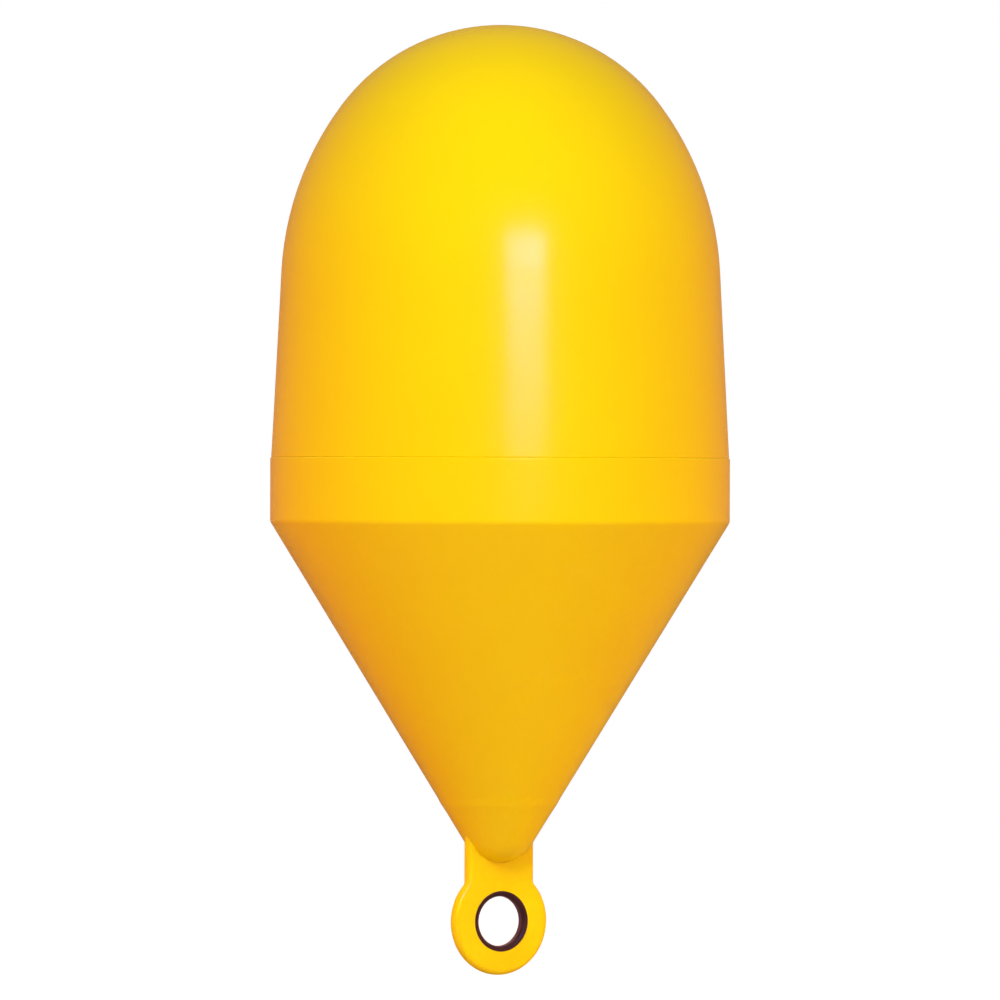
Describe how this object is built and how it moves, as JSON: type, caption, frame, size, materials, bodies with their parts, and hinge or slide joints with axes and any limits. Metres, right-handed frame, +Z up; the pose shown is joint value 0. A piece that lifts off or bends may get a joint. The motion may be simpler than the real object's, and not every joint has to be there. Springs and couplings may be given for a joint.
{
  "type": "cylinder-and-cone mooring marker buoy",
  "caption": "Yellow marker buoy: domed upper shell seated in the collar of a conical lower shell, with a bushed mooring eye at the tip.",
  "frame": {"origin": "on the axis of the hull at the shoulder, where the collar meets the cone and the water line lies", "axes": "+Z up along the axis of the hull, Y along the bore of the mooring eye, X across the lug"},
  "size_m": [0.4, 0.3998, 0.8263],
  "materials": {
    "hull_yellow": "semi-gloss moulded polyethylene, signal yellow all through",
    "bush_dark": "glossy dark brown to black nylon"
  },
  "bodies": {
    "root": {"upper_shell": "hull_yellow", "lower_shell": "hull_yellow", "eye_lug": "hull_yellow", "eye_bush": "bush_dark"}
  },
  "joints": []
}
